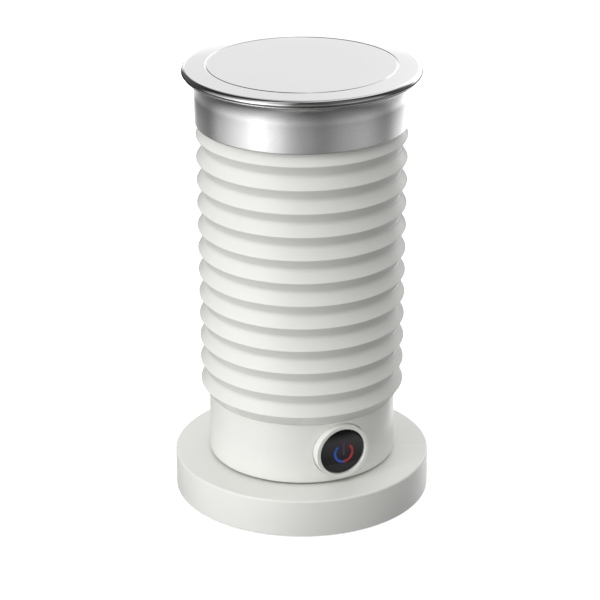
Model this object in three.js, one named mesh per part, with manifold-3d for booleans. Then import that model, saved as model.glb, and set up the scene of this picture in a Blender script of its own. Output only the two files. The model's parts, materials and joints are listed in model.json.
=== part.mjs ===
// Milk frother: an insulated jug with a magnetic whisk, standing on a 360-degree power base.
// Millimetres, +Z up, origin on the table under the middle of the base.
// The push button faces -Y and the cord inlet is at the back, +Y.
import * as THREE from 'three';
import { mergeVertices } from 'three/addons/utils/BufferGeometryUtils.js';
import Module from 'manifold-3d';

const wasm = await Module();
wasm.setup();

// ---------------------------------------------------------------- driving dimensions
const GAP = 0.3; // clearance between neighbouring pieces
const FACETS = 36; // sides of a large turned piece
const SMALL_FACETS = 16; // sides of a small turned piece

const FOOT = { radius: 5, height: 2.6, chamfer: 0.6, circle: 45, count: 4 };
const BASE = { radius: 57.5, bottom: 1, top: 18.2, wall: 2.2, edge: 0.7 };
const PLATE = { bottom: 1.2, thickness: 3 };
const SCREW = { head: 3, headHeight: 0.9, shank: 1.4, length: 9, count: 3 };
const BASE_BOSS = { circle: 45, radius: 3.8 };
const GLAND = { height: 10.4, bore: 3.2, barrel: 4.4, flange: 5.2, inner: 52, step: 54.6, outer: 57.2 };

const SOCKET = { radius: 16.5, flange: 20, bottom: 10, slotFloor: 13, top: 28.2 };
const LEAF = { thickness: 0.5, bottom: 7, top: 24 };
const POLES = { pin: 2.2, innerRing: 6.2, outerRing: 11.2, ringWall: 1.4, tip: 16.5, top: 34.2 };

const HOUSING = { radius: 41.7, bottom: 19.2, top: 47.5, wall: 2.2, spigot: 5.5 };
const COVER = { bottom: 19.6, thickness: 3, recess: 18.5, recessTop: 29.8, rest: 18.5 };
const COVER_BOSS = { circle: 34, radius: 3.4, top: 44 };
const CONNECTOR = { bottom: 28.8, spigot: 14.2, flange: 17.5, flangeBottom: 32.3, top: 36.5 };

const SLEEVE = { bottom: 47.8, top: 172.7, bore: 40.8, foot: 42.2 };
const RIB = { count: 12, pitch: 10.48, first: 52.75, crest: 45.45, valley: 42.6, land: 0.5, draft: 0.065 };
const COLLAR = { radius: 46.4, sheet: 0.7, bottom: 173.4, bend: 190.5, flare: 4.6, ledge: 41.2 };
const POT = { radius: 37.8, sheet: 0.8, floor: 88, corner: 4.8, bend: 187, flare: 7 };
const POT_RING = { bottom: 160, ledge: 174.4, top: 176.4, outer: 45.4 };

const LID = { top: 198.8, crown: 0.6, sheet: 0.8, radius: 51.8, rimBottom: 195.8 };
const PLUG = { radius: 49.8, top: 197.3, under: 195.9, plate: 2.5 };
const LID_GROOVE = { radius: 41.3, width: 0.8, depth: 0.4 };
const SKIRT = { radius: 36.2, wall: 1.5, bottom: 184 };
const SEAL = { radius: 37.5, bottom: 185.2, height: 1.8 };

const HEATER = { bore: 22, radius: 35, bottom: 84.7, top: 87.7, coil: 28.5, tube: 2.8, opening: 36 };
const MOTOR = { radius: 14, bottom: 46.5, top: 75.6, shaft: 1.5, shaftBottom: 59, shaftTop: 86.2 };
const BRACKET = { disc: 21.5, bottom: 76, top: 78, leg: 2, legCircle: 33.6 };
const DRIVE = { radius: 17, bottom: 82.6, top: 86.4, magnet: 4, magnetHeight: 2.5, magnetCircle: 11 };
const SPINDLE = { radius: 1.5, flange: 4, top: 103 };
const WHISK = { radius: 17.2, bottom: 91.4, top: 96, knob: 4.5, knobTop: 108 };
const SPRING = { circle: 20.3, height: 95.4, coil: 2.2, wire: 0.45, turns: 16 };

const BUTTON = { height: 33.6, cap: 10.4, face: 43.3, back: 40.6 };
const PLUNGER = { tip: 36.9, stem: 2.2, back: 39, radius: 9.8 };
const BEZEL = { radius: 12.6, bore: 10.75, inner: 36.5, outer: 43.9 };
const SWITCH_BOARD = { half: 9.5, back: 30.4, front: 31.6 };
const BOARD = { left: -20, right: 20, front: -16, back: 28, bottom: 39, top: 40.6 };

// ---------------------------------------------------------------- materials
const WARM_WHITE = { color: 0xf1f1ea, roughness: 0.42, metalness: 0 };
const BLACK_PLASTIC = { color: 0x1d1d1f, roughness: 0.5, metalness: 0 };
const BLACK_GLOSS = { color: 0x060606, roughness: 0.08, metalness: 0 };
const GREY_NYLON = { color: 0xb9bab6, roughness: 0.55, metalness: 0 };
const CLEAR_PLASTIC = { color: 0xe6ebee, roughness: 0.25, metalness: 0 };
const RUBBER = { color: 0x2b2b2c, roughness: 0.85, metalness: 0 };
const SILICONE = { color: 0xd9dbda, roughness: 0.6, metalness: 0 };
const BRUSHED_STEEL = { color: 0xb9babb, roughness: 0.3, metalness: 1 };
const POLISHED_STEEL = { color: 0xd5d6d7, roughness: 0.08, metalness: 1 };
const PLATED_STEEL = { color: 0xa9acae, roughness: 0.35, metalness: 1 };
const ALUMINIUM = { color: 0xc3c6c8, roughness: 0.4, metalness: 1 };
const BRASS = { color: 0xc6a14f, roughness: 0.3, metalness: 1 };
const MAGNET_NICKEL = { color: 0x9b9c9d, roughness: 0.25, metalness: 1 };
const CIRCUIT_GREEN = { color: 0x2d6a3f, roughness: 0.5, metalness: 0 };
const BLUE_LENS = { color: 0x2f6fe0, roughness: 0.2, metalness: 0 };
const RED_LENS = { color: 0xd23324, roughness: 0.2, metalness: 0 };
const WIRE_WHITE = { color: 0xdcd8cc, roughness: 0.6, metalness: 0 };

// ---------------------------------------------------------------- solid helpers
/** A closed solid from any three.js geometry: seams welded and zero-area triangles dropped. */
function solid(geometry) {
  const bare = geometry.clone();
  bare.deleteAttribute('normal');
  bare.deleteAttribute('uv');
  const welded = mergeVertices(bare, 1e-4);
  const source = welded.index.array;
  const triangles = [];
  for (let i = 0; i < source.length; i += 3) {
    const [a, b, c] = [source[i], source[i + 1], source[i + 2]];
    if (a !== b && b !== c && c !== a) triangles.push(a, b, c);
  }
  const mesh = new wasm.Mesh({
    numProp: 3,
    vertProperties: new Float32Array(welded.attributes.position.array),
    triVerts: new Uint32Array(triangles),
  });
  return new wasm.Manifold(mesh);
}

/** Back from a solid to a three.js geometry. */
function geometryOf(body) {
  const mesh = body.getMesh();
  const geometry = new THREE.BufferGeometry();
  geometry.setAttribute('position', new THREE.BufferAttribute(mesh.vertProperties, 3));
  geometry.setIndex(new THREE.BufferAttribute(mesh.triVerts, 1));
  geometry.computeVertexNormals();
  return geometry;
}

const join = (first, ...others) => others.reduce((sum, piece) => sum.add(piece), first);
const cut = (first, ...tools) => tools.reduce((rest, tool) => rest.subtract(tool), first);

/** Geometry of a (radius, height) outline spun about Z; the outline closes on itself or on the axis. */
function lathe(outline, facets) {
  let area = 0;
  outline.forEach(([r, z], i) => {
    const [nextR, nextZ] = outline[(i + 1) % outline.length];
    area += r * nextZ - nextR * z;
  });
  const ordered = area < 0 ? [...outline].reverse() : [...outline];
  const onAxis = ordered[0][0] === 0 && ordered[ordered.length - 1][0] === 0;
  if (!onAxis) ordered.push(ordered[0]);
  const points = ordered.map(([r, z]) => new THREE.Vector2(r, z));
  return new THREE.LatheGeometry(points, facets).rotateX(Math.PI / 2);
}

const turned = (outline, facets = FACETS) => solid(lathe(outline, facets));

/** Turned about a horizontal axis that runs out through the button, height of the axis given. */
const turnedToFront = (outline, height, facets = SMALL_FACETS) =>
  solid(lathe(outline, facets).rotateX(Math.PI / 2).translate(0, 0, height));

/** Turned about a horizontal axis that runs out through the back. */
const turnedToBack = (outline, height, facets = SMALL_FACETS) =>
  solid(lathe(outline, facets).rotateX(-Math.PI / 2).translate(0, 0, height));

const rod = (radius, bottom, top, [x, y] = [0, 0], facets = SMALL_FACETS) =>
  solid(
    new THREE.CylinderGeometry(radius, radius, top - bottom, facets)
      .rotateX(Math.PI / 2)
      .translate(x, y, (top + bottom) / 2),
  );

const rectangle = (inner, outer, bottom, top) => [
  [inner, bottom],
  [outer, bottom],
  [outer, top],
  [inner, top],
];

const tube = (inner, outer, bottom, top, facets = FACETS) =>
  turned(rectangle(inner, outer, bottom, top), facets);

function blockGeometry([x0, x1], [y0, y1], [z0, z1]) {
  return new THREE.BoxGeometry(x1 - x0, y1 - y0, z1 - z0).translate(
    (x0 + x1) / 2,
    (y0 + y1) / 2,
    (z0 + z1) / 2,
  );
}

const block = (x, y, z) => solid(blockGeometry(x, y, z));

/** A block laid out along +X and then swung round Z. */
const spoke = (x, y, z, degrees) =>
  solid(blockGeometry(x, y, z).rotateZ(THREE.MathUtils.degToRad(degrees)));

function polar(radius, degrees) {
  const angle = THREE.MathUtils.degToRad(degrees);
  return [radius * Math.cos(angle), radius * Math.sin(angle)];
}

/** Evenly spaced directions in degrees. */
const around = (count, start) => Array.from({ length: count }, (_, i) => start + (360 * i) / count);

/** Points of a circular arc in the (radius, height) plane, both ends included. */
function arc([r, z], radius, from, to, steps) {
  return Array.from({ length: steps + 1 }, (_, i) => {
    const [dr, dz] = polar(radius, from + ((to - from) * i) / steps);
    return [r + dr, z + dz];
  });
}

/** Round wire along a curve. */
function wire(curve, radius, steps, sides) {
  const section = Array.from({ length: sides }, (_, i) => {
    const [x, y] = polar(radius, (360 * i) / sides);
    return new THREE.Vector2(x, y);
  });
  const shape = new THREE.Shape(section);
  return solid(new THREE.ExtrudeGeometry(shape, { steps, extrudePath: curve, bevelEnabled: false }));
}

function piece(name, body, look) {
  const mesh = new THREE.Mesh(geometryOf(body), new THREE.MeshStandardMaterial(look));
  mesh.name = name;
  return mesh;
}

// ---------------------------------------------------------------- shared hardware
/** Pan-head screw driven upwards, cross recess in the underside of its head. */
function screw([x, y], headBottom, length = SCREW.length) {
  const headTop = headBottom + SCREW.headHeight;
  const body = turned(
    [
      [0, headBottom],
      [SCREW.head - 0.3, headBottom],
      [SCREW.head, headBottom + 0.3],
      [SCREW.head, headTop],
      [SCREW.shank, headTop],
      [SCREW.shank, headTop + length - 0.8],
      [SCREW.shank - 0.7, headTop + length],
      [0, headTop + length],
    ],
    10,
  );
  const recess = [-0.3, 0.3];
  const depth = [headBottom - 1, headBottom + 0.5];
  const cross = join(block([-1.5, 1.5], recess, depth), block(recess, [-1.5, 1.5], depth));
  return cut(body, cross).translate([x, y, 0]);
}

/** Clearance hole with a counterbore from below, for one of those screws. */
function screwHole(at, bottom, seat) {
  const through = rod(SCREW.shank + GAP, bottom - 1, seat + 20, at, 10);
  return join(through, rod(SCREW.head + GAP, bottom - 1, seat, at, 10));
}

// ---------------------------------------------------------------- power base
const plateTop = PLATE.bottom + PLATE.thickness;
const footSites = around(FOOT.count, 45).map((angle) => polar(FOOT.circle, angle));
const baseScrewSites = around(SCREW.count, 90).map((angle) => polar(BASE_BOSS.circle, angle));

function baseCover() {
  const ceiling = BASE.top - BASE.wall;
  const inner = BASE.radius - BASE.wall;
  const hole = SOCKET.radius + GAP;
  const shell = turned([
    [inner, BASE.bottom],
    [BASE.radius, BASE.bottom],
    [BASE.radius, BASE.top - BASE.edge],
    [BASE.radius - 0.25 * BASE.edge, BASE.top - 0.3 * BASE.edge],
    [BASE.radius - BASE.edge, BASE.top],
    [hole, BASE.top],
    [hole, ceiling],
    [inner, ceiling],
  ]);
  const bosses = baseScrewSites.map((at) => rod(BASE_BOSS.radius, plateTop + GAP, ceiling + 1, at));
  const pilots = baseScrewSites.map((at) => rod(SCREW.shank + GAP, plateTop, ceiling - 1.5, at, 10));
  const clear = GLAND.barrel + GAP;
  const inlet = turnedToBack([[0, 50], [clear, 50], [clear, 60], [0, 60]], GLAND.height);
  return cut(join(shell, ...bosses), ...pilots, inlet);
}

function basePlate() {
  const edge = BASE.radius - BASE.wall - GAP;
  const pillarTop = SOCKET.bottom - GAP;
  const disc = turned([
    [0, PLATE.bottom],
    [edge, PLATE.bottom],
    [edge, plateTop],
    [SOCKET.flange - 0.5, plateTop],
    [SOCKET.flange - 0.5, pillarTop],
    [SOCKET.flange - 2.5, pillarTop],
    [SOCKET.flange - 2.5, plateTop],
    [0, plateTop],
  ]);
  const pockets = footSites.map((at) => rod(FOOT.radius + GAP, 0, FOOT.height + GAP, at));
  const holes = baseScrewSites.map((at) => screwHole(at, PLATE.bottom, PLATE.bottom + 1.5));
  return cut(disc, ...pockets, ...holes);
}

const foot = (at) =>
  turned(
    [
      [0, 0],
      [FOOT.radius - FOOT.chamfer, 0],
      [FOOT.radius, FOOT.chamfer],
      [FOOT.radius, FOOT.height],
      [0, FOOT.height],
    ],
    SMALL_FACETS,
  ).translate([...at, 0]);

const cableGland = () =>
  turnedToBack(
    [
      [GLAND.bore, GLAND.inner],
      [GLAND.flange, GLAND.inner],
      [GLAND.flange, GLAND.step],
      [GLAND.barrel, GLAND.step],
      [GLAND.barrel, GLAND.outer],
      [GLAND.bore, GLAND.outer],
    ],
    GLAND.height,
  );

// ---------------------------------------------------------------- 360-degree power coupling
/** Inner radius, half width and direction of each contact leaf, one beside each pole. */
const leaves = [
  { radius: POLES.pin + 0.5, half: 1, degrees: 90 },
  { radius: POLES.innerRing + POLES.ringWall + 0.4, half: 1.5, degrees: 210 },
  { radius: POLES.outerRing + POLES.ringWall + 0.4, half: 1.5, degrees: 330 },
];

function leafBlade({ radius, half, degrees }, slack, bottom, top) {
  const reach = [radius - slack, radius + LEAF.thickness + slack];
  return spoke(reach, [-half - slack, half + slack], [bottom, top], degrees);
}

function baseSocket() {
  const wells = [
    [POLES.innerRing - 1, POLES.innerRing + POLES.ringWall + 1.4],
    [POLES.outerRing - 1, POLES.outerRing + POLES.ringWall + 1.4],
  ];
  const shoulder = BASE.top - BASE.wall - GAP;
  const body = turned(
    [
      [0, SOCKET.bottom],
      [SOCKET.flange, SOCKET.bottom],
      [SOCKET.flange, shoulder],
      [SOCKET.radius, shoulder],
      [SOCKET.radius, SOCKET.top - 0.6],
      [SOCKET.radius - 0.6, SOCKET.top],
      [wells[1][1], SOCKET.top],
      [wells[1][1], SOCKET.slotFloor],
      [wells[1][0], SOCKET.slotFloor],
      [wells[1][0], SOCKET.top],
      [wells[0][1], SOCKET.top],
      [wells[0][1], SOCKET.slotFloor],
      [wells[0][0], SOCKET.slotFloor],
      [wells[0][0], SOCKET.top],
      [POLES.pin + 1.4, SOCKET.top],
      [POLES.pin + 1.4, SOCKET.slotFloor],
      [0, SOCKET.slotFloor],
    ],
    24,
  );
  const exits = leaves.map((leaf) => leafBlade(leaf, GAP, SOCKET.bottom - 1, SOCKET.slotFloor + 0.1));
  return cut(body, ...exits);
}

function jugConnector() {
  const ringTop = POLES.top + GAP;
  const groove = (radius) => [radius - GAP, radius + POLES.ringWall + GAP];
  const [innerLeft, innerRight] = groove(POLES.innerRing);
  const [outerLeft, outerRight] = groove(POLES.outerRing);
  return turned(
    [
      [POLES.pin + GAP, CONNECTOR.bottom],
      [innerLeft, CONNECTOR.bottom],
      [innerLeft, ringTop],
      [innerRight, ringTop],
      [innerRight, CONNECTOR.bottom],
      [outerLeft, CONNECTOR.bottom],
      [outerLeft, ringTop],
      [outerRight, ringTop],
      [outerRight, CONNECTOR.bottom],
      [CONNECTOR.spigot, CONNECTOR.bottom],
      [CONNECTOR.spigot, CONNECTOR.flangeBottom],
      [CONNECTOR.flange, CONNECTOR.flangeBottom],
      [CONNECTOR.flange, CONNECTOR.top],
      [POLES.pin + GAP, CONNECTOR.top],
    ],
    24,
  );
}

const jugPin = () =>
  turned(
    [
      [0, POLES.tip],
      [POLES.pin - 1, POLES.tip],
      [POLES.pin, POLES.tip + 1.5],
      [POLES.pin, CONNECTOR.top + 2],
      [0, CONNECTOR.top + 2],
    ],
    16,
  );

const poleRing = (radius) => tube(radius, radius + POLES.ringWall, POLES.tip + 1, POLES.top, 24);

// ---------------------------------------------------------------- lower housing of the jug
/** Cylinder on the axis of the button, for cutting room for its bezel. */
const plug = (radius, near, far) =>
  turnedToFront([[0, near], [radius, near], [radius, far], [0, far]], BUTTON.height, 24);

const coverScrewSites = around(SCREW.count, 90).map((angle) => polar(COVER_BOSS.circle, angle));

function lowerHousing() {
  const bore = HOUSING.radius - HOUSING.wall;
  const spigot = SLEEVE.bore - GAP;
  const shell = turned([
    [bore, HOUSING.bottom],
    [HOUSING.radius - 0.4, HOUSING.bottom],
    [HOUSING.radius, HOUSING.bottom + 0.4],
    [HOUSING.radius, HOUSING.top],
    [spigot, HOUSING.top],
    [spigot, HOUSING.top + HOUSING.spigot],
    [spigot - 1.6, HOUSING.top + HOUSING.spigot],
    [spigot - 1.6, HOUSING.top - 2.5],
    [bore, HOUSING.top - 4],
  ]);
  const bossBottom = COVER.bottom + COVER.thickness + GAP;
  const bosses = coverScrewSites.map((at) => rod(COVER_BOSS.radius, bossBottom, COVER_BOSS.top, at));
  const webs = around(SCREW.count, 90).map((angle) =>
    spoke([COVER_BOSS.circle + 2, bore + 0.8], [-1, 1], [bossBottom, COVER_BOSS.top - 3], angle),
  );
  const pilots = coverScrewSites.map((at) => rod(SCREW.shank + GAP, bossBottom - 1, bossBottom + 12, at, 10));
  const window = plug(BEZEL.radius + GAP, 30, 50);
  return cut(join(shell, ...bosses, ...webs), ...pilots, window);
}

/** Floor of the jug, with the recess that drops over the socket and the ring it rests on. */
function bottomCover() {
  const rim = HOUSING.radius - HOUSING.wall - GAP;
  const floor = COVER.bottom;
  const top = floor + COVER.thickness;
  const body = turned([
    [COVER.recess, floor],
    [24, floor],
    [24, COVER.rest],
    [27, COVER.rest],
    [27, floor],
    [rim, floor],
    [rim, top],
    [COVER.recess + 2.2, top],
    [COVER.recess + 2.2, COVER.recessTop + 2.2],
    [CONNECTOR.spigot + GAP, COVER.recessTop + 2.2],
    [CONNECTOR.spigot + GAP, COVER.recessTop],
    [COVER.recess, COVER.recessTop],
  ]);
  const bezelNotch = plug(BEZEL.radius + GAP, BEZEL.inner - GAP, HOUSING.radius);
  return cut(body, bezelNotch, ...coverScrewSites.map((at) => screwHole(at, floor, floor + 1.5)));
}

// ---------------------------------------------------------------- insulated vessel
/** Outer outline of the ribbed sleeve from bottom to top: valleys, and crests with a small land.
 *  The moulding widens a little from rib to rib towards the top. */
function ribOutline() {
  const points = [[SLEEVE.foot, SLEEVE.bottom]];
  for (let i = 0; i < RIB.count; i += 1) {
    const height = RIB.first + i * RIB.pitch;
    const crest = RIB.crest + i * RIB.draft;
    if (i > 0) points.push([RIB.valley + i * RIB.draft, height - RIB.pitch / 2]);
    points.push([crest, height - RIB.land], [crest, height + RIB.land]);
  }
  points.push([RIB.valley + RIB.count * RIB.draft, SLEEVE.top]);
  return points;
}

const ribbedSleeve = () => turned([[SLEEVE.bore, SLEEVE.bottom], ...ribOutline(), [SLEEVE.bore, SLEEVE.top]]);

/** Sheet-steel collar: an inward ledge at the bottom and a lip that flares outwards at the top. */
function steelCollar() {
  const inner = COLLAR.radius - COLLAR.sheet;
  const centre = [COLLAR.radius - COLLAR.sheet / 2 + COLLAR.flare, COLLAR.bend];
  const outside = arc(centre, COLLAR.flare - COLLAR.sheet / 2, 180, 90, 4);
  const inside = arc(centre, COLLAR.flare + COLLAR.sheet / 2, 90, 180, 4);
  return turned([
    [COLLAR.ledge, COLLAR.bottom],
    [COLLAR.radius - 0.4, COLLAR.bottom],
    [COLLAR.radius, COLLAR.bottom + 0.4],
    ...outside,
    [centre[0] + COLLAR.sheet / 2, COLLAR.bend + COLLAR.flare],
    ...inside,
    [inner, COLLAR.bottom + COLLAR.sheet],
    [COLLAR.ledge, COLLAR.bottom + COLLAR.sheet],
  ]);
}

/** Deep-drawn pot: flat floor, rounded corner, straight wall and a funnel lip. */
function innerPot() {
  const outer = POT.radius + POT.sheet;
  const corner = [POT.radius - POT.corner, POT.floor + POT.sheet + POT.corner];
  const lip = [POT.radius + POT.sheet / 2 + POT.flare, POT.bend];
  return turned([
    [0, POT.floor],
    ...arc(corner, POT.corner + POT.sheet, -90, 0, 3),
    [outer, POT.bend],
    ...arc(lip, POT.flare - POT.sheet / 2, 180, 90, 4).slice(1),
    ...arc(lip, POT.flare + POT.sheet / 2, 90, 180, 4),
    ...arc(corner, POT.corner, 0, -90, 3),
    [0, POT.floor + POT.sheet],
  ]);
}

const potRing = () =>
  turned([
    [POT.radius + POT.sheet + GAP, POT_RING.bottom],
    [SLEEVE.bore - GAP, POT_RING.bottom],
    [SLEEVE.bore - GAP, POT_RING.ledge],
    [POT_RING.outer, POT_RING.ledge],
    [POT_RING.outer, POT_RING.top],
    [POT.radius + POT.sheet + GAP, POT_RING.top],
  ]);

// ---------------------------------------------------------------- heater and motor
/** Open ring of sheathed heating element under the plate, the gap at the back. */
function heatingElement() {
  const height = HEATER.bottom - GAP - HEATER.tube;
  const half = HEATER.opening / 2;
  const stops = Array.from({ length: 25 }, (_, i) => {
    const [x, y] = polar(HEATER.coil, 90 + half + ((360 - 2 * half) * i) / 24);
    return new THREE.Vector3(x, y, height);
  });
  return wire(new THREE.CatmullRomCurve3(stops), HEATER.tube, 28, 8);
}

/** Lead from one end of the element, round the bracket and down to the control board. */
function heaterLead(side) {
  const height = HEATER.bottom - GAP - HEATER.tube;
  const half = HEATER.opening / 2;
  const stops = [
    [...polar(HEATER.coil, 90 - side * (half - 1.2)), height],
    [...polar(HEATER.coil, 90 - side * (half - 4)), height - 0.6],
    [...polar(HEATER.coil, 90 - side * (half - 6)), height - 4],
    [side * 7, 26.5, 64],
    [side * 8, 25, 50],
    [side * 8, 24.5, BOARD.top + GAP],
  ];
  const curve = new THREE.CatmullRomCurve3(stops.map((stop) => new THREE.Vector3(...stop)));
  return wire(curve, 0.9, 14, 6);
}

const motorScrewSites = [
  [-8.5, 0],
  [8.5, 0],
];

/** Motor body with a nose at each end; the upper one is bored for the shaft and its bush. */
function motorCan() {
  const nose = 4.2;
  const bush = 3.6;
  const bore = MOTOR.shaft + GAP;
  const body = turned(
    [
      [0, MOTOR.bottom - 1.7],
      [nose, MOTOR.bottom - 1.7],
      [nose, MOTOR.bottom],
      [MOTOR.radius - 1, MOTOR.bottom],
      [MOTOR.radius, MOTOR.bottom + 1],
      [MOTOR.radius, MOTOR.top],
      [nose, MOTOR.top],
      [nose, BRACKET.top - 0.2],
      [bush, BRACKET.top - 0.2],
      [bush, BRACKET.bottom - 3],
      [bore, BRACKET.bottom - 3],
      [bore, MOTOR.shaftBottom - 1],
      [0, MOTOR.shaftBottom - 1],
    ],
    24,
  );
  return cut(body, ...motorScrewSites.map((at) => rod(1.5, MOTOR.top - 7, MOTOR.top + 1, at, 12)));
}

const motorBush = () => tube(MOTOR.shaft + GAP, 3.3, BRACKET.bottom - 2.7, BRACKET.top - 0.2, SMALL_FACETS);

/** Three-armed bracket: the motor hangs below it and its legs stand off the heater plate. */
function motorBracket() {
  const arms = around(3, 30);
  const disc = tube(4.2 + GAP, BRACKET.disc, BRACKET.bottom, BRACKET.top, 24);
  const reach = [BRACKET.disc - 4, BRACKET.legCircle];
  const width = [-BRACKET.leg, BRACKET.leg];
  const bars = arms.map((angle) => spoke(reach, width, [BRACKET.bottom, BRACKET.top], angle));
  const legs = arms.map((angle) =>
    rod(BRACKET.leg, BRACKET.bottom, HEATER.bottom - GAP, polar(BRACKET.legCircle, angle), 12),
  );
  const holes = motorScrewSites.map((at) => rod(1.5, BRACKET.bottom - 1, BRACKET.top + 1, at, 12));
  return cut(join(disc, ...bars, ...legs), ...holes);
}

const motorScrew = (at) =>
  turned(
    [
      [0, MOTOR.top - 5],
      [1.2, MOTOR.top - 5],
      [1.2, BRACKET.top + GAP],
      [2.2, BRACKET.top + GAP],
      [2.2, BRACKET.top + 1.2],
      [1.7, BRACKET.top + 1.6],
      [0, BRACKET.top + 1.6],
    ],
    12,
  ).translate([...at, 0]);

const magnetSites = around(2, 0).map((angle) => polar(DRIVE.magnetCircle, angle));
const motorShaft = () => rod(MOTOR.shaft, MOTOR.shaftBottom, MOTOR.shaftTop, [0, 0], 16);

function driveDisc() {
  const bore = MOTOR.shaft + GAP;
  const body = turned(
    [
      [bore, DRIVE.bottom - 2],
      [4.5, DRIVE.bottom - 2],
      [4.5, DRIVE.bottom],
      [DRIVE.radius, DRIVE.bottom],
      [DRIVE.radius, DRIVE.top],
      [bore, DRIVE.top],
    ],
    24,
  );
  const pocketFloor = DRIVE.top - DRIVE.magnetHeight - GAP;
  const pockets = magnetSites.map((at) => rod(DRIVE.magnet + GAP, pocketFloor, DRIVE.top + 1, at));
  return cut(body, ...pockets);
}

const driveMagnet = (at) => rod(DRIVE.magnet, DRIVE.top - DRIVE.magnetHeight, DRIVE.top, at);

/** Spring-loaded temperature probe, standing on the bracket and touching the pot floor. */
const temperatureProbe = () =>
  turned(
    [
      [0, BRACKET.top + GAP],
      [1.6, BRACKET.top + GAP],
      [1.6, POT.floor - 0.8],
      [1.1, POT.floor - GAP],
      [0, POT.floor - GAP],
    ],
    12,
  ).translate([0, 19.6, 0]);

/** Control board with its relay, capacitor and driver soldered on. */
function controlBoard() {
  const sheet = block([BOARD.left, BOARD.right], [BOARD.front, BOARD.back], [BOARD.bottom, BOARD.top]);
  const relay = block([-19, -9], [-14, 2], [BOARD.top - 0.5, BOARD.top + 3.2]);
  const driver = block([10, 17], [-12, -7], [BOARD.top - 0.5, BOARD.top + 2.4]);
  const capacitor = rod(3.4, BOARD.top - 0.5, BOARD.top + 7, [17, 12], 16);
  return join(sheet, relay, driver, capacitor);
}

// ---------------------------------------------------------------- whisk
const whiskSpindle = () =>
  turned(
    [
      [0, POT.floor + POT.sheet + GAP],
      [SPINDLE.flange, POT.floor + POT.sheet + GAP],
      [SPINDLE.flange, POT.floor + POT.sheet + 1.3],
      [SPINDLE.radius, POT.floor + POT.sheet + 1.8],
      [SPINDLE.radius, SPINDLE.top - 0.6],
      [SPINDLE.radius - 0.6, SPINDLE.top],
      [0, SPINDLE.top],
    ],
    16,
  );

/** Magnet carrier with a finger knob on top and three arms that hold up the spring. */
function whiskHub() {
  const bore = SPINDLE.radius + 0.4;
  const body = turned(
    [
      [bore, WHISK.bottom],
      [WHISK.radius, WHISK.bottom],
      [WHISK.radius, WHISK.top - 1],
      [WHISK.radius - 1, WHISK.top],
      [WHISK.knob + 1.5, WHISK.top],
      [WHISK.knob - 0.8, WHISK.top + 3],
      [WHISK.knob, WHISK.knobTop - 2],
      [WHISK.knob - 1.2, WHISK.knobTop],
      [0, WHISK.knobTop],
      [0, SPINDLE.top + 0.6],
      [bore, SPINDLE.top + 0.6],
    ],
    24,
  );
  const reach = SPRING.circle + SPRING.coil + SPRING.wire;
  const arms = around(3, 30).map((angle) =>
    spoke([WHISK.radius - 2, reach], [-1.5, 1.5], [WHISK.bottom, WHISK.bottom + 1], angle),
  );
  const pocketTop = WHISK.bottom + DRIVE.magnetHeight + GAP;
  const pockets = magnetSites.map((at) => rod(DRIVE.magnet + GAP, WHISK.bottom - 1, pocketTop, at));
  return cut(join(body, ...arms), ...pockets);
}

const whiskMagnet = (at) => rod(DRIVE.magnet, WHISK.bottom, WHISK.bottom + DRIVE.magnetHeight, at);

/** Coil spring bent into a ring: the part that froths the milk. */
function whiskSpring() {
  class RingSpring extends THREE.Curve {
    getPoint(t, target = new THREE.Vector3()) {
      const swing = THREE.MathUtils.degToRad(356) * t;
      const twist = 2 * Math.PI * SPRING.turns * t;
      const radius = SPRING.circle + SPRING.coil * Math.cos(twist);
      const height = SPRING.height + SPRING.coil * Math.sin(twist);
      return target.set(radius * Math.cos(swing), radius * Math.sin(swing), height);
    }
  }
  return wire(new RingSpring(), SPRING.wire, SPRING.turns * 7, 5);
}

// ---------------------------------------------------------------- push button
const buttonBezel = () =>
  turnedToFront(
    [
      [BEZEL.bore, BEZEL.inner],
      [BEZEL.radius, BEZEL.inner],
      [BEZEL.radius, BEZEL.outer - 0.6],
      [BEZEL.radius - 0.5, BEZEL.outer],
      [BEZEL.bore + 0.3, BEZEL.outer],
      [BEZEL.bore, BEZEL.outer - 0.3],
    ],
    BUTTON.height,
    28,
  );

const buttonCap = () =>
  turnedToFront(
    [
      [0, BUTTON.back],
      [BUTTON.cap, BUTTON.back],
      [BUTTON.cap, BUTTON.face - 0.4],
      [BUTTON.cap - 0.4, BUTTON.face],
      [0, BUTTON.face],
    ],
    BUTTON.height,
    28,
  );

/** Light guide behind the cap, with the stem that works the switch. */
const buttonPlunger = () =>
  turnedToFront(
    [
      [0, PLUNGER.tip],
      [PLUNGER.stem, PLUNGER.tip],
      [PLUNGER.stem, PLUNGER.back],
      [PLUNGER.radius, PLUNGER.back],
      [PLUNGER.radius, BUTTON.back - GAP],
      [0, BUTTON.back - GAP],
    ],
    BUTTON.height,
    24,
  );

const switchBoard = () =>
  block(
    [-SWITCH_BOARD.half, SWITCH_BOARD.half],
    [-SWITCH_BOARD.front, -SWITCH_BOARD.back],
    [BUTTON.height - SWITCH_BOARD.half, BUTTON.height + SWITCH_BOARD.half],
  );

function tactSwitch() {
  const back = SWITCH_BOARD.front + GAP;
  const body = block([-3, 3], [-back - 3.2, -back], [BUTTON.height - 3, BUTTON.height + 3]);
  const tip = PLUNGER.tip - 0.9;
  const knob = turnedToFront([[0, back + 2], [1.7, back + 2], [1.7, tip], [0, tip]], BUTTON.height, 12);
  return join(body, knob);
}

const lamp = (x) => {
  const back = SWITCH_BOARD.front + GAP;
  return block([x - 1.6, x + 1.6], [-back - 2, -back], [BUTTON.height - 1.6, BUTTON.height + 1.6]);
};

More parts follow.
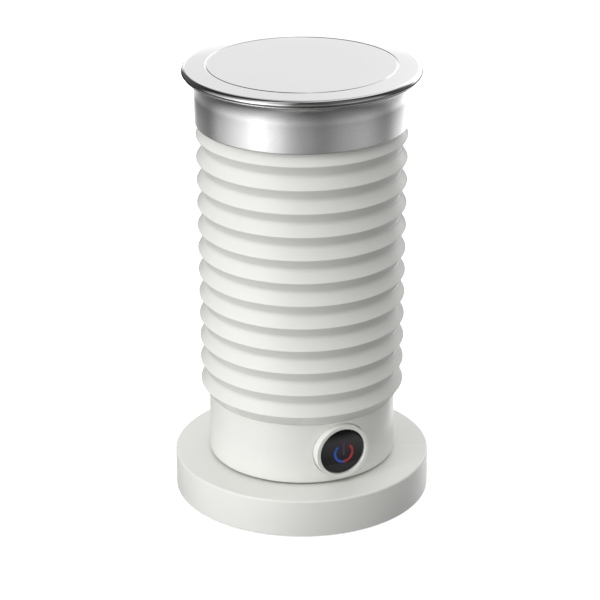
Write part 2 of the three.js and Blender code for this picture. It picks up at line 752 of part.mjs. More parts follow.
// ---------------------------------------------------------------- lid
/** Plastic plug under the steel cap: a skirt that drops into the pot and carries the seal. */
function lidPlug() {
  const inner = SKIRT.radius - SKIRT.wall;
  const groove = SKIRT.radius - 0.6;
  return turned([
    [0, PLUG.top - PLUG.plate],
    [inner, PLUG.top - PLUG.plate],
    [inner, SKIRT.bottom],
    [SKIRT.radius, SKIRT.bottom],
    [SKIRT.radius, SEAL.bottom - GAP],
    [groove, SEAL.bottom - GAP],
    [groove, SEAL.bottom + SEAL.height + GAP],
    [SKIRT.radius, SEAL.bottom + SEAL.height + GAP],
    [SKIRT.radius, PLUG.under],
    [PLUG.radius, PLUG.under],
    [PLUG.radius, PLUG.top],
    [0, PLUG.top],
  ]);
}

/** Steel cap pressed from one sheet: flat inside a stamped groove, falling slightly to a rolled edge. */
function lidCap() {
  const under = LID.top - LID.sheet;
  const edge = LID.top - LID.crown;
  const hem = LID.radius - 2 * LID.sheet;
  const { radius, width, depth } = LID_GROOVE;
  return turned([
    [0, under],
    [radius - width / 2 - depth, under],
    [radius - width / 2, under - depth],
    [radius + width / 2, under - depth],
    [radius + width / 2 + depth, under],
    [hem, under - LID.crown],
    [hem, LID.rimBottom],
    [LID.radius - 0.6, LID.rimBottom],
    [LID.radius - 0.15, LID.rimBottom + 0.5],
    [LID.radius, LID.rimBottom + 1.1],
    [LID.radius, edge - 1.1],
    [LID.radius - 0.3, edge - 0.4],
    [LID.radius - 1.1, edge],
    [radius + width / 2, LID.top],
    [radius + width / 4, LID.top - depth],
    [radius - width / 4, LID.top - depth],
    [radius - width / 2, LID.top],
    [0, LID.top],
  ]);
}

const lidSeal = () =>
  turned([
    [SKIRT.radius - GAP, SEAL.bottom],
    [SEAL.radius - 0.6, SEAL.bottom],
    [SEAL.radius, SEAL.bottom + 0.6],
    [SEAL.radius, SEAL.bottom + SEAL.height - 0.6],
    [SEAL.radius - 0.6, SEAL.bottom + SEAL.height],
    [SKIRT.radius - GAP, SEAL.bottom + SEAL.height],
  ]);

// ---------------------------------------------------------------- assembly
const frother = new THREE.Group();
frother.name = 'milk_frother';

const numbered = (name, sites, build, look) =>
  sites.map((site, i) => piece(`${name}_${i + 1}`, build(site), look));

const powerBase = [
  piece('base_cover', baseCover(), WARM_WHITE),
  piece('base_plate', basePlate(), GREY_NYLON),
  ...numbered('foot', footSites, foot, RUBBER),
  ...numbered('base_screw', baseScrewSites, (at) => screw(at, PLATE.bottom + 0.3), PLATED_STEEL),
  piece('cable_gland', cableGland(), RUBBER),
  piece('base_socket', baseSocket(), BLACK_PLASTIC),
  ...numbered('socket_contact', leaves, (leaf) => leafBlade(leaf, 0, LEAF.bottom, LEAF.top), BRASS),
];

const jug = [
  piece('lower_housing', lowerHousing(), WARM_WHITE),
  piece('bottom_cover', bottomCover(), BLACK_PLASTIC),
  ...numbered('cover_screw', coverScrewSites, (at) => screw(at, COVER.bottom + 0.3), PLATED_STEEL),
  piece('jug_connector', jugConnector(), BLACK_PLASTIC),
  piece('jug_pin', jugPin(), BRASS),
  piece('jug_ring_inner', poleRing(POLES.innerRing), BRASS),
  piece('jug_ring_outer', poleRing(POLES.outerRing), BRASS),
  piece('ribbed_sleeve', ribbedSleeve(), WARM_WHITE),
  piece('steel_collar', steelCollar(), BRUSHED_STEEL),
  piece('inner_pot', innerPot(), BRUSHED_STEEL),
  piece('pot_ring', potRing(), GREY_NYLON),
  piece('heater_plate', tube(HEATER.bore, HEATER.radius, HEATER.bottom, HEATER.top), ALUMINIUM),
  piece('heater_element', heatingElement(), PLATED_STEEL),
  piece('heater_lead_left', heaterLead(-1), WIRE_WHITE),
  piece('heater_lead_right', heaterLead(1), WIRE_WHITE),
  piece('motor_can', motorCan(), PLATED_STEEL),
  piece('motor_bush', motorBush(), BRASS),
  piece('motor_bracket', motorBracket(), GREY_NYLON),
  ...numbered('motor_screw', motorScrewSites, motorScrew, PLATED_STEEL),
  piece('temperature_probe', temperatureProbe(), ALUMINIUM),
  piece('control_board', controlBoard(), CIRCUIT_GREEN),
  piece('whisk_spindle', whiskSpindle(), POLISHED_STEEL),
  piece('button_bezel', buttonBezel(), WARM_WHITE),
  piece('switch_board', switchBoard(), CIRCUIT_GREEN),
  piece('tact_switch', tactSwitch(), BLACK_PLASTIC),
  piece('blue_lamp', lamp(-6), BLUE_LENS),
  piece('red_lamp', lamp(6), RED_LENS),
];

const rotor = [
  piece('motor_shaft', motorShaft(), POLISHED_STEEL),
  piece('drive_disc', driveDisc(), GREY_NYLON),
  ...numbered('drive_magnet', magnetSites, driveMagnet, MAGNET_NICKEL),
];

const whisk = [
  piece('whisk_hub', whiskHub(), BLACK_PLASTIC),
  piece('whisk_spring', whiskSpring(), POLISHED_STEEL),
  ...numbered('whisk_magnet', magnetSites, whiskMagnet, MAGNET_NICKEL),
];

const button = [
  piece('button_cap', buttonCap(), BLACK_GLOSS),
  piece('button_plunger', buttonPlunger(), CLEAR_PLASTIC),
];

const lid = [
  piece('lid_cap', lidCap(), POLISHED_STEEL),
  piece('lid_plug', lidPlug(), BLACK_PLASTIC),
  piece('lid_seal', lidSeal(), SILICONE),
];

frother.add(...powerBase, ...jug, ...rotor, ...whisk, ...button, ...lid);

export default frother;
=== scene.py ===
"""Milk frother on its power base, in a plain white studio.

Lengths are in millimetres until a mesh is made. Outer heights and radii are read from the CAD
frame. The other numbers are details of this model, or inner sizes that match the CAD pieces.
"""
import json
import math

import bmesh
import bpy
from mathutils import Matrix, Vector


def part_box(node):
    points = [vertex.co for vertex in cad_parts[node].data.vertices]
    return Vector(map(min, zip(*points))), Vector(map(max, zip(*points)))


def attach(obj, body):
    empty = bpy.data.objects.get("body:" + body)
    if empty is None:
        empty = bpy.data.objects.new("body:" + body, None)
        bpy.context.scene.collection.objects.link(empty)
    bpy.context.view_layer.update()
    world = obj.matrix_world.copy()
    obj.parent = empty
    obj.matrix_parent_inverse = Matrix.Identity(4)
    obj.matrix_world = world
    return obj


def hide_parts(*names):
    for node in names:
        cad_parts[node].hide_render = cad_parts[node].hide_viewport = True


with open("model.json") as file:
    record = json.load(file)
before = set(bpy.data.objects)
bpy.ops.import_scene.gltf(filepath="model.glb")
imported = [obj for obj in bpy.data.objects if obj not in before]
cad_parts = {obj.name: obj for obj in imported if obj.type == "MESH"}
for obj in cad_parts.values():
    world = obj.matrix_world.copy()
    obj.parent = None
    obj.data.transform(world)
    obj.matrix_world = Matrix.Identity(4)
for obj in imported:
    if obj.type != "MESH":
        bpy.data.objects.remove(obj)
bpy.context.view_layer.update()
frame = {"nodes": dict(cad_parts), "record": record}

MM = 0.001
FINE, ROUND = 256, 192  # sides of the outermost turned pieces, and of other large ones
SHARP = 35  # degrees from which an edge stays sharp
GAP = 0.3  # clearance between neighbouring pieces
WALL = 2.2  # thickness of the moulded shells
CAMERA_AZIMUTH = -24.45  # degrees round from the front


# ------------------------------------------------------------------ sizes from the frame
def low(node, axis):
    """The lowest coordinate of a CAD piece along an axis, in millimetres."""
    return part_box(node)[0][axis] / MM


def high(node, axis):
    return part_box(node)[1][axis] / MM


def radius_of(node):
    return high(node, 0)


# ------------------------------------------------------------------ mesh helpers
def rounded(corners, steps=5):
    """Closed outline from corners (r, z, fillet), each corner turned into an arc of its fillet."""
    points = []
    count = len(corners)
    for i, corner in enumerate(corners):
        here = Vector(corner[:2])
        fillet = corner[2] if len(corner) > 2 else 0
        before = Vector(corners[i - 1][:2]) - here
        after = Vector(corners[(i + 1) % count][:2]) - here
        if fillet <= 0 or before.length < 1e-6 or after.length < 1e-6:
            points.append(tuple(here))
            continue
        a, b = before.normalized(), after.normalized()
        half = a.angle(b) / 2
        reach = min(fillet / math.tan(half), 0.49 * before.length, 0.49 * after.length)
        radius = reach * math.tan(half)
        centre = here + (a + b).normalized() * (radius / math.sin(half))
        start, end = here + a * reach, here + b * reach
        for k in range(steps + 1):
            t = k / steps
            arm = (start - centre).lerp(end - centre, t).normalized() * radius
            points.append(tuple(centre + arm))
    return points


def arc(centre, radius, start, end, steps):
    """Points on a circular arc in the (r, z) plane, both ends included."""
    out = []
    for i in range(steps + 1):
        angle = math.radians(start + (end - start) * i / steps)
        out.append((centre[0] + radius * math.cos(angle), centre[1] + radius * math.sin(angle)))
    return out


def mesh_object(name, verts, faces, sharp=SHARP):
    """A smooth-shaded closed mesh, from vertices in millimetres."""
    mesh = bpy.data.meshes.new(name)
    mesh.from_pydata([Vector(v) * MM for v in verts], [], faces)
    mesh.validate()
    bm = bmesh.new()
    bm.from_mesh(mesh)
    bmesh.ops.recalc_face_normals(bm, faces=bm.faces)
    bm.to_mesh(mesh)
    bm.free()
    mesh.polygons.foreach_set("use_smooth", [True] * len(mesh.polygons))
    mesh.set_sharp_from_angle(angle=math.radians(sharp))
    piece = bpy.data.objects.new(name, mesh)
    bpy.context.scene.collection.objects.link(piece)
    return piece


def turned(name, outline, sides, sharp=SHARP, turn=None):
    """A closed (r, z) outline spun about Z; points at r = 0 become single vertices."""
    verts, rows = [], []
    for r, z in outline:
        if r < 1e-6:
            rows.append([len(verts)] * sides)
            verts.append((0, 0, z))
            continue
        rows.append(list(range(len(verts), len(verts) + sides)))
        for k in range(sides):
            angle = 2 * math.pi * k / sides
            verts.append((r * math.cos(angle), r * math.sin(angle), z))
    faces = []
    for i, row in enumerate(rows):
        following = rows[(i + 1) % len(rows)]
        for k in range(sides):
            m = (k + 1) % sides
            ring = [row[k], row[m], following[m], following[k]]
            corners = list(dict.fromkeys(ring))
            if len(corners) > 2:
                faces.append(corners)
    piece = mesh_object(name, verts, faces, sharp)
    if turn is not None:
        piece.data.transform(turn)
    return piece


def to_front(height):
    """Turns +Z to -Y, at a height."""
    return Matrix.Translation((0, 0, height * MM)) @ Matrix.Rotation(math.pi / 2, 4, "X")


def to_back(height):
    """Turns +Z to +Y, at a height."""
    return Matrix.Translation((0, 0, height * MM)) @ Matrix.Rotation(-math.pi / 2, 4, "X")


def cut(piece, *tools):
    """Subtracts the tools, which are used up."""
    for tool in tools:
        step = piece.modifiers.new("cut", "BOOLEAN")
        step.operation = "DIFFERENCE"
        step.solver = "EXACT"
        step.object = tool
    depsgraph = bpy.context.evaluated_depsgraph_get()
    result = bpy.data.meshes.new_from_object(piece.evaluated_get(depsgraph))
    piece.modifiers.clear()
    piece.data = result
    result.polygons.foreach_set("use_smooth", [True] * len(result.polygons))
    result.set_sharp_from_angle(angle=math.radians(SHARP))
    for tool in tools:
        bpy.data.objects.remove(tool, do_unlink=True)
    return piece


def plug(radius, near, far, sides=64, turn=None, at=(0, 0)):
    """A cylinder to cut with, from near to far along its axis."""
    tool = turned("tool", [(0, near), (radius, near), (radius, far), (0, far)], sides, turn=turn)
    tool.data.transform(Matrix.Translation((at[0] * MM, at[1] * MM, 0)))
    return tool


def bar(name, x, y, z, degrees, bevel):
    """A block with bevelled edges, swung round Z."""
    verts = [(a, b, c) for a in x for b in y for c in z]
    quads = [(0, 1, 3, 2), (4, 6, 7, 5), (0, 4, 5, 1), (2, 3, 7, 6), (0, 2, 6, 4), (1, 5, 7, 3)]
    piece = mesh_object(name, verts, quads)
    bm = bmesh.new()
    bm.from_mesh(piece.data)
    bmesh.ops.bevel(bm, geom=bm.edges[:], offset=bevel * MM, segments=3, affect="EDGES")
    bm.to_mesh(piece.data)
    bm.free()
    piece.data.transform(Matrix.Rotation(math.radians(degrees), 4, "Z"))
    return piece


def joined(first, *others):
    """One object holding the meshes of all of them."""
    bm = bmesh.new()
    for piece in (first, *others):
        bm.from_mesh(piece.data)
    bm.to_mesh(first.data)
    bm.free()
    for piece in others:
        bpy.data.objects.remove(piece, do_unlink=True)
    return first


def polar(radius, degrees):
    angle = math.radians(degrees)
    return radius * math.cos(angle), radius * math.sin(angle)


# ------------------------------------------------------------------ materials
class Wiring:
    """Makes and wires the nodes of one shader tree."""

    def __init__(self, tree):
        self.tree = tree

    def add(self, kind, **settings):
        node = self.tree.nodes.new(kind)
        for key, value in settings.items():
            setattr(node, key, value)
        return node

    def wire(self, source, target):
        self.tree.links.new(source, target)

    def spread(self, value, from_range, to_range=(0, 1), **settings):
        node = self.add("ShaderNodeMapRange", **settings)
        node.inputs["From Min"].default_value, node.inputs["From Max"].default_value = from_range
        node.inputs["To Min"].default_value, node.inputs["To Max"].default_value = to_range
        self.wire(value, node.inputs["Value"])
        return node.outputs["Result"]

    def mix(self, factor, first, second, kind="MIX"):
        """Mixes two colours, each a socket or (r, g, b), by a socket or a float."""
        node = self.add("ShaderNodeMix", data_type="RGBA", blend_type=kind)
        for slot, value in ((0, factor), (6, first), (7, second)):
            if isinstance(value, tuple):
                node.inputs[slot].default_value = (*value, 1)
            elif isinstance(value, float):
                node.inputs[slot].default_value = value
            else:
                self.wire(value, node.inputs[slot])
        return node.outputs[2]

    def either(self, factor, first, second):
        """The first shader where the factor is 0, the second where it is 1."""
        node = self.add("ShaderNodeMixShader")
        for slot, value in enumerate((factor, first, second)):
            self.wire(value, node.inputs[slot])
        return node.outputs[0]


class Nodes(Wiring):
    """The nodes of a new material."""

    def __init__(self, name):
        self.material = bpy.data.materials.new(name)
        self.material.use_nodes = True
        super().__init__(self.material.node_tree)
        self.shader = self.tree.nodes["Principled BSDF"]

    def coordinates(self):
        return self.add("ShaderNodeTexCoord").outputs["Object"]

    def noise(self, vector, scale, detail, roughness=0.55):
        node = self.add("ShaderNodeTexNoise")
        node.inputs["Scale"].default_value = scale
        node.inputs["Detail"].default_value = detail
        node.inputs["Roughness"].default_value = roughness
        self.wire(vector, node.inputs["Vector"])
        return node.outputs["Fac"]

    def patches(self, vector, scale, detail, to_range=(0, 1)):
        """Soft-edged noise that runs over the whole of a range."""
        return self.spread(self.noise(vector, scale, detail), (0.3, 0.7), to_range)

    def bump(self, height, distance, strength):
        node = self.add("ShaderNodeBump")
        node.inputs["Strength"].default_value = strength
        node.inputs["Distance"].default_value = distance
        self.wire(height, node.inputs["Height"])
        return node.outputs["Normal"]

    def edges(self, low_point, high_point):
        """0 in hollows to 1 on edges, from the mesh's own curvature."""
        geometry = self.add("ShaderNodeNewGeometry")
        return self.spread(geometry.outputs["Pointiness"], (low_point, high_point))

    def feed(self, **sources):
        """Wires sockets to the shader's inputs, named with _ for each space."""
        for name, source in sources.items():
            self.wire(source, self.shader.inputs[name.replace("_", " ")])

    def level(self, **values):
        """Sets constants on the shader's inputs, named with _ for each space."""
        for name, value in values.items():
            self.shader.inputs[name.replace("_", " ")].default_value = value


def scaled(colour, factor):
    return tuple(min(1.0, c * factor) for c in colour)


def moulded(name, colour, roughness, grain=1400, depth=0.00002, edge_wear_and_highlight=1.06):
    """Moulded plastic or rubber: fine spark-eroded grain, faint flow marks, and paler edges that
    are partly wear and partly a painted highlight.
    """
    n = Nodes(name)
    where = n.coordinates()
    body = n.mix(n.patches(where, 35, 4), scaled(colour, 0.975), scaled(colour, 1.015))
    n.feed(
        # Paler on the edges: partly wear, and partly a painted highlight.
        Base_Color=n.mix(n.edges(0.5, 0.62), body, scaled(colour, edge_wear_and_highlight)),
        Roughness=n.patches(where, 90, 5, (roughness - 0.05, roughness + 0.05)),
        Normal=n.bump(n.noise(where, grain, 3, 0.6), depth, 0.6),
    )
    return n.material


def steel(name, colour, roughness, brush, anisotropy, depth):
    """Steel brushed round the axis: streaks that run round, with faint smudges."""
    stretch, smudge = 0.0012, 0.03  # metres that a radian of streak counts as; added roughness
    n = Nodes(name)
    where = n.coordinates()
    split = n.add("ShaderNodeSeparateXYZ")
    n.wire(where, split.inputs[0])
    flat = n.add("ShaderNodeCombineXYZ")
    n.wire(split.outputs["X"], flat.inputs["X"])
    n.wire(split.outputs["Y"], flat.inputs["Y"])
    length = n.add("ShaderNodeVectorMath", operation="LENGTH")
    n.wire(flat.outputs[0], length.inputs[0])
    angle = n.add("ShaderNodeMath", operation="ARCTAN2")
    n.wire(split.outputs["Y"], angle.inputs[0])
    n.wire(split.outputs["X"], angle.inputs[1])
    along = n.add("ShaderNodeMath", operation="MULTIPLY")
    n.wire(angle.outputs[0], along.inputs[0])
    along.inputs[1].default_value = stretch
    streak_at = n.add("ShaderNodeCombineXYZ")
    n.wire(length.outputs["Value"], streak_at.inputs["X"])
    n.wire(along.outputs[0], streak_at.inputs["Y"])
    n.wire(split.outputs["Z"], streak_at.inputs["Z"])
    streaks = n.noise(streak_at.outputs[0], brush, 4, 0.65)
    tone = n.spread(streaks, (0.3, 0.7))
    rough = n.add("ShaderNodeMath", operation="ADD")
    n.wire(n.spread(streaks, (0.3, 0.7), (roughness - 0.02, roughness + 0.02)), rough.inputs[0])
    n.wire(n.spread(n.noise(where, 22, 5), (0.35, 0.7), (-smudge / 2, smudge)), rough.inputs[1])
    n.feed(
        Base_Color=n.mix(tone, scaled(colour, 0.97), scaled(colour, 1.02)),
        Roughness=rough.outputs[0],
        Normal=n.bump(streaks, depth, 0.5),
    )
    n.level(Metallic=1.0, Anisotropic=anisotropy, Anisotropic_Rotation=0.25)
    if anisotropy:
        n.feed(Tangent=n.add("ShaderNodeTangent", direction_type="RADIAL", axis="Z").outputs[0])
    return n.material


def cast_metal(name, colour, roughness, grain=700, depth=0.00002):
    """Plain metal with a fine even grain, a slightly uneven shine, and paler edges that are partly
    wear and partly a painted highlight.
    """
    n = Nodes(name)
    where = n.coordinates()
    body = n.mix(n.patches(where, 120, 4), scaled(colour, 0.88), scaled(colour, 1.08))
    n.feed(
        # Paler on the edges: partly wear, and partly a painted highlight.
        Base_Color=n.mix(n.edges(0.5, 0.6), body, scaled(colour, 1.25)),
        Roughness=n.patches(where, 260, 4, (roughness - 0.06, roughness + 0.08)),
        Normal=n.bump(n.noise(where, grain, 3), depth, 0.5),
    )
    n.level(Metallic=1.0)
    return n.material


def black_glass(name):
    """Polished black face with the faintest ripple and haze."""
    n = Nodes(name)
    where = n.coordinates()
    haze = n.spread(n.noise(where, 160, 5), (0.4, 0.75))
    n.feed(
        Base_Color=n.mix(haze, (0.0085, 0.0085, 0.009), (0.013, 0.013, 0.013)),
        Roughness=n.patches(where, 300, 4, (0.07, 0.13)),
        Normal=n.bump(n.noise(where, 120, 1), 0.00001, 0.15),
    )
    n.level(Specular_IOR_Level=0.3, Coat_Weight=0.2, Coat_Roughness=0.05)
    return n.material


def glowing(name, colour):
    """Lit print seen through the button: uneven like light from one lamp behind it."""
    n = Nodes(name)
    tint = n.mix(n.patches(n.coordinates(), 420, 3), scaled(colour, 0.7), colour)
    n.feed(Base_Color=tint, Emission_Color=tint)
    n.level(Emission_Strength=0.2, Roughness=0.25)
    return n.material


def circuit(name):
    """Green solder resist with the lighter lines of the copper under it."""
    n = Nodes(name)
    where = n.coordinates()
    tracks = n.add("ShaderNodeTexBrick")
    tracks.inputs["Scale"].default_value = 160
    tracks.inputs["Mortar Size"].default_value = 0.08
    tracks.inputs["Color1"].default_value = (0.02, 0.16, 0.06, 1)
    tracks.inputs["Color2"].default_value = (0.015, 0.12, 0.045, 1)
    tracks.inputs["Mortar"].default_value = (0.06, 0.3, 0.12, 1)
    n.wire(where, tracks.inputs["Vector"])
    n.feed(
        Base_Color=tracks.outputs["Color"],
        Roughness=n.patches(where, 500, 3, (0.3, 0.42)),
        Normal=n.bump(tracks.outputs["Fac"], 0.00003, 0.4),
    )
    return n.material


def sleeving(name):
    """Braided glass sleeve of a heater lead."""
    n = Nodes(name)
    where = n.coordinates()
    weave = n.add("ShaderNodeTexWave", wave_type="BANDS", bands_direction="DIAGONAL")
    weave.inputs["Scale"].default_value = 420
    weave.inputs["Distortion"].default_value = 1.5
    n.wire(where, weave.inputs["Vector"])
    n.feed(
        Base_Color=n.mix(weave.outputs["Fac"], (0.5, 0.46, 0.38), (0.82, 0.79, 0.7)),
        Roughness=n.patches(where, 300, 3, (0.6, 0.8)),
        Normal=n.bump(weave.outputs["Fac"], 0.0001, 0.6),
    )
    return n.material


WARM_WHITE = (0.80, 0.806, 0.77)
BLACK, STEEL_GREY = (0.018, 0.018, 0.019), (0.5, 0.51, 0.53)
LOOKS = {
    "warm_white_plastic": moulded("warm_white_moulding", WARM_WHITE, 0.34),
    "black_plastic": moulded("black_moulding", BLACK, 0.45, edge_wear_and_highlight=1.8),
    "gloss_black_plastic": black_glass("black_glass_face"),
    "grey_nylon": moulded("grey_nylon_moulding", (0.42, 0.43, 0.41), 0.55, grain=900),
    "clear_plastic": moulded("clear_light_guide", (0.75, 0.79, 0.82), 0.2, grain=600),
    "black_rubber": moulded(
        "black_rubber", (0.022, 0.022, 0.022), 0.78, grain=800, depth=0.00005, edge_wear_and_highlight=1.6
    ),
    "silicone": moulded("grey_silicone", (0.5, 0.51, 0.5), 0.6, grain=900),
    "brushed_stainless": steel(
        "brushed_stainless", (0.66, 0.66, 0.66), 0.28, brush=5200, anisotropy=0.5, depth=0.0000005
    ),
    "polished_stainless": steel(
        "polished_stainless", (0.74, 0.74, 0.74), 0.08, brush=2600, anisotropy=0.0, depth=0.000001
    ),
    "plated_steel": cast_metal("zinc_plated_steel", STEEL_GREY, 0.35),
    "aluminium_casting": cast_metal("cast_aluminium", (0.6, 0.61, 0.62), 0.42, 500, 0.00004),
    "brass_contact": cast_metal("brass_contact", (0.72, 0.5, 0.18), 0.28),
    "nickel_magnet": cast_metal("nickel_plate", (0.5, 0.5, 0.5), 0.22),
    "circuit_board": circuit("circuit_board"),
    "blue_lens": moulded("blue_lens", (0.03, 0.12, 0.75), 0.15),
    "red_lens": moulded("red_lens", (0.7, 0.04, 0.02), 0.15),
    "wire_sleeve": sleeving("braided_sleeve"),
}
slot_of = {entry["node"]: entry["material_slot"] for entry in frame["record"]["subparts"]}


def dress(piece, node, body):
    """Gives a new piece the material and the place of the CAD node that it replaces."""
    name = slot_of[node]
    piece.data.materials.clear()
    piece.data.materials.append(LOOKS[name])
    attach(piece, body)
    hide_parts(node)


CAD_SHARP = 40  # degrees; the carried-over pieces are faceted
for node, thing in frame["nodes"].items():
    thing.data.materials.clear()
    thing.data.materials.append(LOOKS[slot_of[node]])
    thing.data.polygons.foreach_set("use_smooth", [True] * len(thing.data.polygons))
    thing.data.set_sharp_from_angle(angle=math.radians(CAD_SHARP))


# ------------------------------------------------------------------ power base
base_radius = radius_of("base_cover")
base_top, base_low = high("base_cover", 2), low("base_cover", 2)
socket_radius, socket_top = 16.5, high("base_socket", 2)
gland_height = (low("cable_gland", 2) + high("cable_gland", 2)) / 2
FOOT, GLAND_NECK = 5.0, 4.4  # radii
SCREW_HEAD, SCREW_SHANK, HEAD_HEIGHT = 3.0, 1.4, 0.9
SITES = 45  # radius of the circle that the feet and the screws stand on
foot_sites = [polar(SITES, 45 + 90 * i) for i in range(4)]
base_screw_sites = [polar(SITES, 90 + 120 * i) for i in range(3)]


def base_cover():
    inner, ceiling, hole = base_radius - WALL, base_top - WALL, socket_radius + GAP
    shell = turned(
        "base_shell",
        rounded([
            (inner, base_low), (base_radius, base_low, 0.35), (base_radius, base_top, 0.9),
            (hole, base_top, 0.4), (hole, ceiling), (inner, ceiling),
        ]),
        FINE,
    )
    inside, outside = base_radius - 7.5, base_radius + 2.5
    return cut(shell, plug(GLAND_NECK + GAP, inside, outside, turn=to_back(gland_height)))


def base_plate():
    edge, bottom, top = radius_of("base_plate"), low("base_plate", 2), 4.2
    rib_in, rib_out, sunk = 33.0, 36.0, bottom + 0.4  # a raised ring, and another at the edge
    disc = turned(
        "base_floor",
        rounded([
            (0, sunk), (rib_in, sunk, 0.2), (rib_in + 0.6, bottom, 0.2),
            (rib_out - 0.6, bottom, 0.2), (rib_out, sunk, 0.2), (edge - 1.4, sunk, 0.2),
            (edge - 1, bottom, 0.2), (edge, bottom, 0.3), (edge, top), (0, top),
        ]),
        ROUND,
    )
    tools = [plug(FOOT + GAP, 0, 2.9, at=site) for site in foot_sites]
    tools += [plug(SCREW_HEAD + GAP, 0, 2.7, 32, at=site) for site in base_screw_sites]
    return cut(disc, *tools)


def foot(name, site):
    """A rubber pad with a shallow dish in its underside."""
    dish, top = 0.25, 2.6
    pad = turned(
        name,
        rounded([
            (0, dish), (3.1, dish, 0.2), (3.4, 0, 0.15), (FOOT, 0, 0.7), (FOOT, top, 0.2), (0, top),
        ]),
        48,
    )
    pad.data.transform(Matrix.Translation((site[0] * MM, site[1] * MM, 0)))
    return pad


def screw(name, site, node):
    """Pan head with a cross recess, seen from below."""
    bottom, top = low(node, 2), high(node, 2)
    shoulder, cross_long, cross_wide, cross_deep = bottom + HEAD_HEIGHT, 1.6, 0.32, 0.55
    body = turned(
        name,
        rounded([
            (0, bottom), (SCREW_HEAD, bottom, 0.35), (SCREW_HEAD, shoulder),
            (SCREW_SHANK, shoulder), (SCREW_SHANK, top - 0.8), (SCREW_SHANK / 2, top), (0, top),
        ], 3),
        32,
    )
    blade = (-cross_long, cross_long), (-cross_wide, cross_wide), (bottom - 1, bottom + cross_deep)
    body = cut(body, *[bar("tool", *blade, angle, 0.05) for angle in (0, 90)])
    body.data.transform(Matrix.Translation((site[0] * MM, site[1] * MM, 0)))
    return body


def cable_gland():
    """Flanged bush in the back wall, open for a cord."""
    bore, flange, inside, seat, outside = 3.2, 5.2, 52, 54.6, 57.2
    corners = [
        (bore, inside), (flange, inside), (flange, seat), (GLAND_NECK, seat),
        (GLAND_NECK, outside, 0.3), (bore, outside, 0.5),
    ]
    return turned("cord_bush", rounded(corners), 64, turn=to_back(gland_height))


def base_socket():
    """Round boss with a ring well for each pole of the jug's connector."""
    bottom, shoulder = low("base_socket", 2), base_top - WALL - GAP
    flange, well_floor = 20, 13
    wells = [(10.2, 14.0), (5.2, 9.0), (0, 3.6)]  # inner and outer radius of each
    corners = [
        (0, bottom), (flange, bottom), (flange, shoulder), (socket_radius, shoulder),
        (socket_radius, socket_top, 1.0),
    ]
    for near, far in wells:
        corners += [(far, socket_top, 0.35), (far, well_floor)]
        corners += [(near, well_floor), (near, socket_top, 0.35)] if near else [(0, well_floor)]
    return turned("socket_boss", rounded(corners), 128)


dress(base_cover(), "base_cover", "base")
dress(base_plate(), "base_plate", "base")
for i, site in enumerate(foot_sites, 1):
    dress(foot(f"rubber_foot_{i}", site), f"foot_{i}", "base")
for i, site in enumerate(base_screw_sites, 1):
    dress(screw(f"base_fixing_{i}", site, f"base_screw_{i}"), f"base_screw_{i}", "base")
dress(cable_gland(), "cable_gland", "base")
dress(base_socket(), "base_socket", "base")

# ------------------------------------------------------------------ lower part of the jug
band_radius, band_low, band_top = radius_of("lower_housing"), low("lower_housing", 2), 47.5
button_height = (low("button_cap", 2) + high("button_cap", 2)) / 2
cap_face = -low("button_cap", 1)
bezel_face = -low("button_bezel", 1)
COVER_SITES = 34  # radius of the circle of the screws in the jug's foot
cover_screw_sites = [polar(COVER_SITES, 90 + 120 * i) for i in range(3)]


def lower_housing():
    """Plain band with a spigot that carries the sleeve, and a window for the button."""
    bore, spigot, spigot_wall, window = band_radius - WALL, 40.5, 1.6, 12.85
    shell = turned(
        "lower_band",
        rounded([
            (bore, band_low), (band_radius, band_low, 0.5), (band_radius, band_top, 0.8),
            (spigot, band_top), (spigot, band_top + 5.5), (spigot - spigot_wall, band_top + 5.5),
            (spigot - spigot_wall, band_top - 2.5), (bore, band_top - 4),
        ]),
        FINE,
    )
    return cut(shell, plug(window, 30, 50, 96, to_front(button_height)))


def bottom_cover():
    """Floor of the jug with a round well over the socket, and a notch behind the button."""
    floor, top, roof, rim_low, edge = 19.6, 22.6, 29.8, 18.5, 39.2
    well, opening, notch = 18.5, 14.5, 12.9
    body = turned(
        "jug_floor",
        rounded([
            (well, floor, 0.5), (24, floor, 0.2), (24, rim_low, 0.3), (27, rim_low, 0.3),
            (27, floor, 0.2), (edge, floor, 0.3), (edge, top), (well + WALL, top),
            (well + WALL, roof + WALL), (opening, roof + WALL), (opening, roof, 0.2),
            (well, roof, 0.4),
        ]),
        ROUND,
    )
    tools = [plug(SCREW_HEAD + GAP, 10, floor + 1.5, 32, at=site) for site in cover_screw_sites]
    return cut(body, *tools, plug(notch, 36.2, 45, 64, to_front(button_height)))


def jug_connector():
    """Round coupling with a groove for each pole ring and a bore for the pin."""
    bottom, top, groove, flange_low = low("jug_connector", 2), high("jug_connector", 2), 34.5, 32.3
    return turned(
        "jug_coupling",
        rounded([
            (2.5, bottom, 0.2), (5.9, bottom, 0.2), (5.9, groove), (7.9, groove),
            (7.9, bottom, 0.2), (10.9, bottom, 0.2), (10.9, groove), (12.9, groove),
            (12.9, bottom, 0.2), (14.2, bottom, 0.3), (14.2, flange_low), (17.5, flange_low),
            (17.5, top), (2.5, top),
        ], 3),
        128,
    )


def pole_ring(name, node, inner):
    bottom, top, outer = low(node, 2), high(node, 2), inner + 1.4
    corners = [(inner, bottom, 0.4), (outer, bottom, 0.4), (outer, top), (inner, top)]
    return turned(name, rounded(corners), 96)


def jug_pin():
    bottom, top, radius = low("jug_pin", 2), high("jug_pin", 2), 2.2
    corners = [(0, bottom), (radius, bottom, 1.6), (radius, top), (0, top)]
    return turned("centre_pin", rounded(corners), 48)


